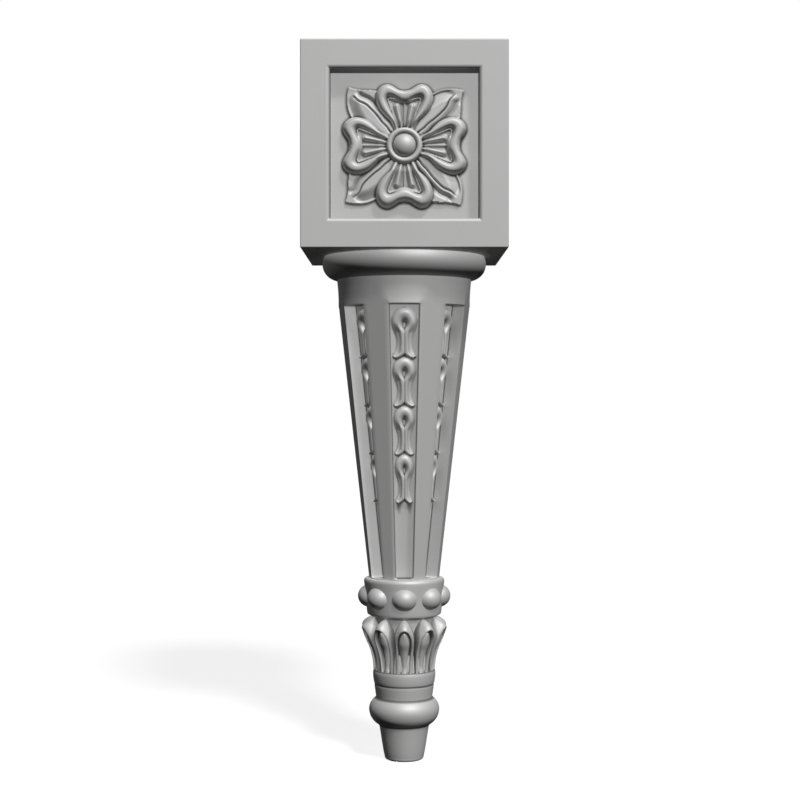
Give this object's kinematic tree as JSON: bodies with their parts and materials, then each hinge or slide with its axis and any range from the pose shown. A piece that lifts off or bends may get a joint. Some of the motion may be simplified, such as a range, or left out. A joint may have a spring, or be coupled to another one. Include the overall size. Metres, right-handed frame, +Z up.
{
  "type": "furniture leg",
  "caption": "Turned and carved wooden leg with a square rosette block on top, a panelled tapering shaft, a beaded collar, a leaf cup and a small round foot.",
  "frame": {"origin": "centre of the foot's underside, on the leg's own axis", "axes": "+Z up the leg from the foot to the top of the block; front is -Y, square to one carved face of the block; +X to the right seen from the front"},
  "size_m": [0.07, 0.07, 0.2492],
  "materials": {
    "painted_wood": "satin"
  },
  "bodies": {
    "root": {"carved_leg": "painted_wood"}
  },
  "joints": []
}
